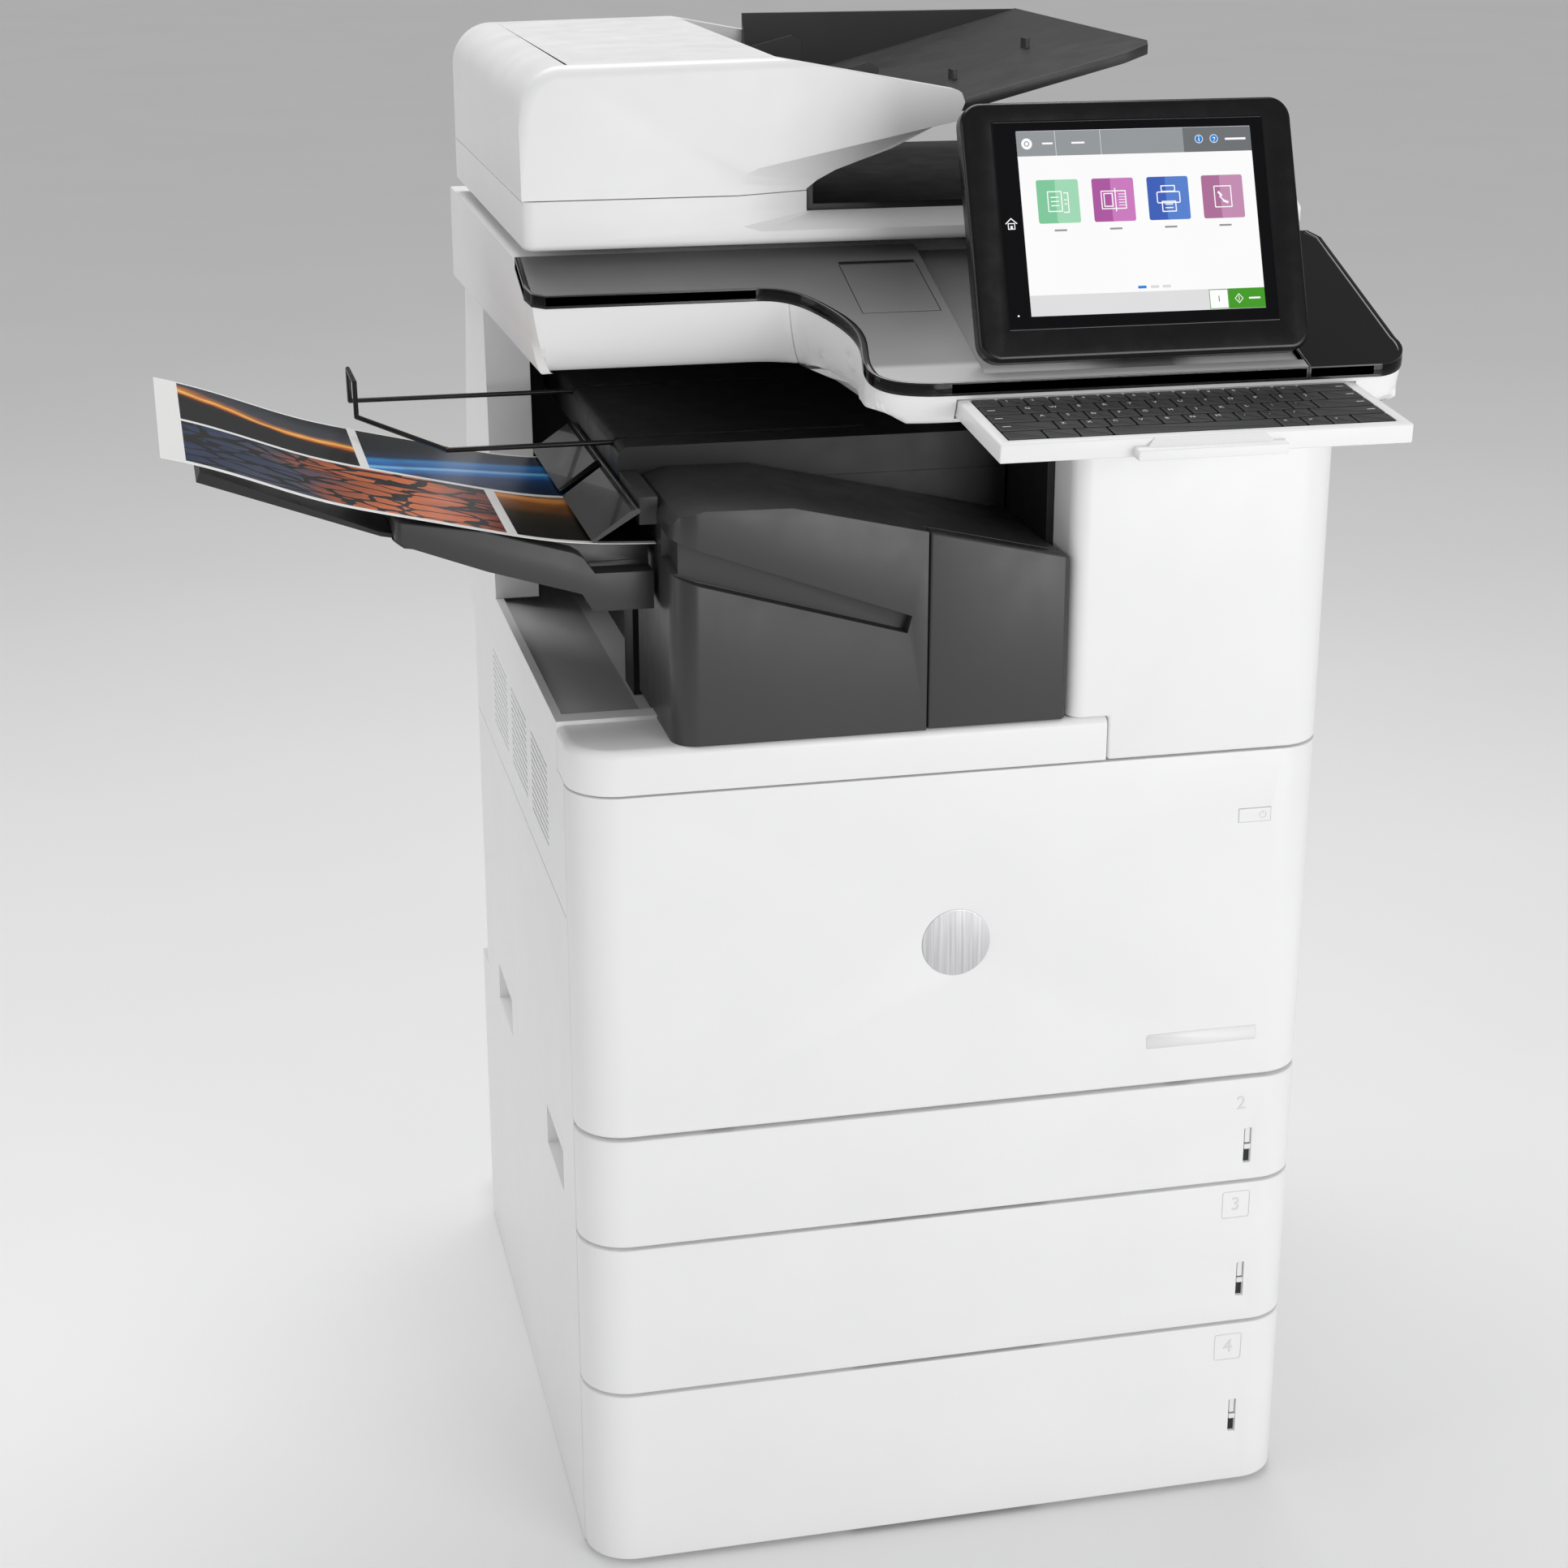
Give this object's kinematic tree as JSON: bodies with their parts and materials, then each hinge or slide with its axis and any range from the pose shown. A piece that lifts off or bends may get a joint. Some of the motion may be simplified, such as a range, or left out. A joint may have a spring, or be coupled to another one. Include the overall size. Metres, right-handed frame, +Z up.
{
  "type": "photocopier",
  "caption": "Floor-standing colour copier with paper drawers, side finisher tray, document feeder, tilting touch screen and slide-out keyboard.",
  "frame": {"origin": "centre of the main body's footprint on the floor, midway between the side faces and between the drawer fronts and the rear cover line", "axes": "+Z up, -Y out of the drawer fronts towards the user, +X to the user's right, away from the side output tray"},
  "size_m": [0.9046, 0.8844, 1.1928],
  "materials": {
    "white_shell": "satin moulded shell",
    "dark_shell": "satin dark grey moulding",
    "black_moulding": "fine grained black",
    "deck_grey": "fine textured mid grey",
    "gloss_black": "polished",
    "screen_glass": "glossy cover glass with display",
    "keycap": "matte keycaps with white legends",
    "wire": "black coated wire",
    "frame_metal": "zinc plated sheet",
    "roller_rubber": "ground rubber",
    "platen": "clear float glass",
    "foam_pad": "white pressure pad",
    "print_paper": "coated sheet with a colour print",
    "toner": "cartridges with a coloured mark each",
    "belt": "smooth transfer belt",
    "badge_metal": "brushed disc"
  },
  "bodies": {
    "machine": {"cabinet": "white_shell", "engine_frame": "white_shell", "top_trim": "white_shell", "paper_bed": "white_shell", "column": "white_shell", "bay_lining": "black_moulding", "rear_pillar": "white_shell", "rear_cover": "white_shell", "power_inlet": "black_moulding", "laser_unit": "frame_metal", "toner_cartridges": "toner", "transfer_belt": "belt", "fuser_frame": "frame_metal", "finisher_shell": "dark_shell", "stapler": "frame_metal", "finisher_body": "black_moulding", "upper_bin": "black_moulding", "scanner_base": "white_shell", "control_deck": "deck_grey", "right_wing": "gloss_black", "pocket_cover": "dark_shell", "platen_glass": "platen", "panel_arm": "black_moulding"},
    "front_door": {"front_door": "white_shell", "badge": "badge_metal"},
    "power_button": {"power_button": "white_shell"},
    "tray_2": {"tray_2": "white_shell"},
    "tray_3": {"tray_3": "white_shell"},
    "tray_4": {"tray_4": "white_shell"},
    "lift_plate_2": {"lift_plate_2": "frame_metal"},
    "lift_plate_3": {"lift_plate_3": "frame_metal"},
    "lift_plate_4": {"lift_plate_4": "frame_metal"},
    "side_door": {"side_door": "white_shell"},
    "bypass_tray": {"bypass_tray": "white_shell"},
    "feed_roller": {"feed_roller": "roller_rubber"},
    "fuser_roller": {"fuser_roller": "roller_rubber"},
    "pressure_roller": {"pressure_roller": "roller_rubber"},
    "finisher_door": {"finisher_door": "dark_shell"},
    "exit_roller": {"exit_roller": "roller_rubber"},
    "wire_support": {"wire_support": "wire"},
    "output_tray": {"output_tray": "dark_shell", "printed_sheet": "print_paper"},
    "tray_extension": {"tray_extension": "black_moulding"},
    "paper_flaps": {"paper_flaps": "black_moulding"},
    "scanner_lid": {"scanner_lid": "white_shell", "platen_pad": "foam_pad", "adf_frame": "black_moulding"},
    "adf_cover": {"adf_cover": "white_shell"},
    "document_tray": {"document_tray": "black_moulding"},
    "guide_front": {"guide_front": "black_moulding"},
    "guide_rear": {"guide_rear": "black_moulding"},
    "pickup_roller": {"pickup_roller": "roller_rubber"},
    "touch_panel": {"touch_panel": "black_moulding", "panel_glass": "screen_glass"},
    "keyboard_tray": {"keyboard_tray": "white_shell"},
    "bottom_keys": {"bottom_keys": "keycap"},
    "letter_keys": {"letter_keys": "keycap"},
    "number_keys": {"number_keys": "keycap"},
    "scan_carriage": {"scan_carriage": "frame_metal"}
  },
  "joints": [
    {"name": "front_door_hinge", "type": "hinge", "parent": "machine", "child": "front_door", "pos_m": [0, -0.324, 0.3915], "axis": [1, 0, 0], "range_deg": [0, 85]},
    {"name": "power_press", "type": "slide", "parent": "front_door", "child": "power_button", "axis": [0, 1, 0], "range_m": [0, 0.001], "stiffness_N_per_m": 250},
    {"name": "tray_2_slide", "type": "slide", "parent": "machine", "child": "tray_2", "axis": [0, -1, 0], "range_m": [0, 0.45]},
    {"name": "lift_2_hinge", "type": "hinge", "parent": "tray_2", "child": "lift_plate_2", "pos_m": [0, 0.138, 0.304], "axis": [-1, 0, 0], "range_deg": [0, 6]},
    {"name": "tray_3_slide", "type": "slide", "parent": "machine", "child": "tray_3", "axis": [0, -1, 0], "range_m": [0, 0.45]},
    {"name": "lift_3_hinge", "type": "hinge", "parent": "tray_3", "child": "lift_plate_3", "pos_m": [0, 0.138, 0.17], "axis": [-1, 0, 0], "range_deg": [0, 6]},
    {"name": "tray_4_slide", "type": "slide", "parent": "machine", "child": "tray_4", "axis": [0, -1, 0], "range_m": [0, 0.45]},
    {"name": "lift_4_hinge", "type": "hinge", "parent": "tray_4", "child": "lift_plate_4", "pos_m": [0, 0.138, 0.024], "axis": [-1, 0, 0], "range_deg": [0, 6]},
    {"name": "side_door_hinge", "type": "hinge", "parent": "machine", "child": "side_door", "pos_m": [0.298, 0.188, 0.52], "axis": [0, 0, 1], "range_deg": [0, 70]},
    {"name": "bypass_hinge", "type": "hinge", "parent": "side_door", "child": "bypass_tray", "pos_m": [0.2971, -0.05, 0.4281], "axis": [0, 1, 0], "range_deg": [0, 60]},
    {"name": "feed_roller_spin", "type": "hinge", "parent": "machine", "child": "feed_roller", "pos_m": [0.244, -0.035, 0.495], "axis": [0, 1, 0], "continuous": true},
    {"name": "fuser_roller_spin", "type": "hinge", "parent": "machine", "child": "fuser_roller", "pos_m": [0.195, -0.04, 0.7954], "axis": [0, 1, 0], "continuous": true},
    {"name": "pressure_roller_spin", "type": "hinge", "parent": "machine", "child": "pressure_roller", "pos_m": [0.195, -0.04, 0.755], "axis": [0, 1, 0], "continuous": true},
    {"name": "finisher_door_hinge", "type": "hinge", "parent": "machine", "child": "finisher_door", "pos_m": [0.079, -0.324, 0.78], "axis": [0, 0, 1], "range_deg": [0, 80]},
    {"name": "exit_roller_spin", "type": "hinge", "parent": "machine", "child": "exit_roller", "pos_m": [-0.198, -0.03, 0.876], "axis": [0, 1, 0], "continuous": true},
    {"name": "wire_support_slide", "type": "slide", "parent": "machine", "child": "wire_support", "axis": [1, 0, 0], "range_m": [0, 0.1]},
    {"name": "output_tray_lift", "type": "slide", "parent": "machine", "child": "output_tray", "axis": [0, 0, 1], "range_m": [-0.08, 0]},
    {"name": "extension_slide", "type": "slide", "parent": "output_tray", "child": "tray_extension", "axis": [-0.9817, 0, 0.1906], "range_m": [0, 0.05]},
    {"name": "flap_hinge", "type": "hinge", "parent": "machine", "child": "paper_flaps", "pos_m": [-0.2376, -0.113, 0.872], "axis": [0, 1, 0], "range_deg": [0, 20]},
    {"name": "lid_hinge", "type": "hinge", "parent": "machine", "child": "scanner_lid", "pos_m": [0, 0.215, 1.067], "axis": [-1, 0, 0], "range_deg": [0, 55]},
    {"name": "adf_cover_hinge", "type": "hinge", "parent": "scanner_lid", "child": "adf_cover", "pos_m": [-0.3065, 0.005, 1.0905], "axis": [0, -1, 0], "range_deg": [0, 40]},
    {"name": "document_tray_hinge", "type": "hinge", "parent": "scanner_lid", "child": "document_tray", "pos_m": [-0.086, 0.005, 1.122], "axis": [0, -1, 0], "range_deg": [0, 20]},
    {"name": "guide_front_slide", "type": "slide", "parent": "document_tray", "child": "guide_front", "axis": [0, 1, 0], "range_m": [-0.028, 0.09]},
    {"name": "guide_rear_slide", "type": "slide", "parent": "document_tray", "child": "guide_rear", "axis": [0, 1, 0], "range_m": [-0.09, 0.028]},
    {"name": "pickup_roller_spin", "type": "hinge", "parent": "scanner_lid", "child": "pickup_roller", "pos_m": [-0.15, -0.005, 1.133], "axis": [0, 1, 0], "continuous": true},
    {"name": "panel_tilt", "type": "hinge", "parent": "machine", "child": "touch_panel", "pos_m": [0.1225, -0.33, 1.012], "axis": [1, 0, 0], "range_deg": [-15, 0]},
    {"name": "keyboard_slide", "type": "slide", "parent": "machine", "child": "keyboard_tray", "axis": [0, 0.996, 0.0889], "range_m": [0, 0.1]},
    {"name": "bottom_keys_press", "type": "slide", "parent": "keyboard_tray", "child": "bottom_keys", "axis": [0, 0.0889, -0.996], "range_m": [0, 0.0008], "stiffness_N_per_m": 400},
    {"name": "letter_keys_press", "type": "slide", "parent": "keyboard_tray", "child": "letter_keys", "axis": [0, 0.0889, -0.996], "range_m": [0, 0.0008], "stiffness_N_per_m": 400},
    {"name": "number_keys_press", "type": "slide", "parent": "keyboard_tray", "child": "number_keys", "axis": [0, 0.0889, -0.996], "range_m": [0, 0.0008], "stiffness_N_per_m": 400},
    {"name": "carriage_slide", "type": "slide", "parent": "machine", "child": "scan_carriage", "axis": [1, 0, 0], "range_m": [0, 0.44]}
  ],
  "couplings": [
    {"joint": "pressure_roller_spin", "follows": "fuser_roller_spin", "ratio": -1},
    {"joint": "guide_rear_slide", "follows": "guide_front_slide", "ratio": -1}
  ]
}
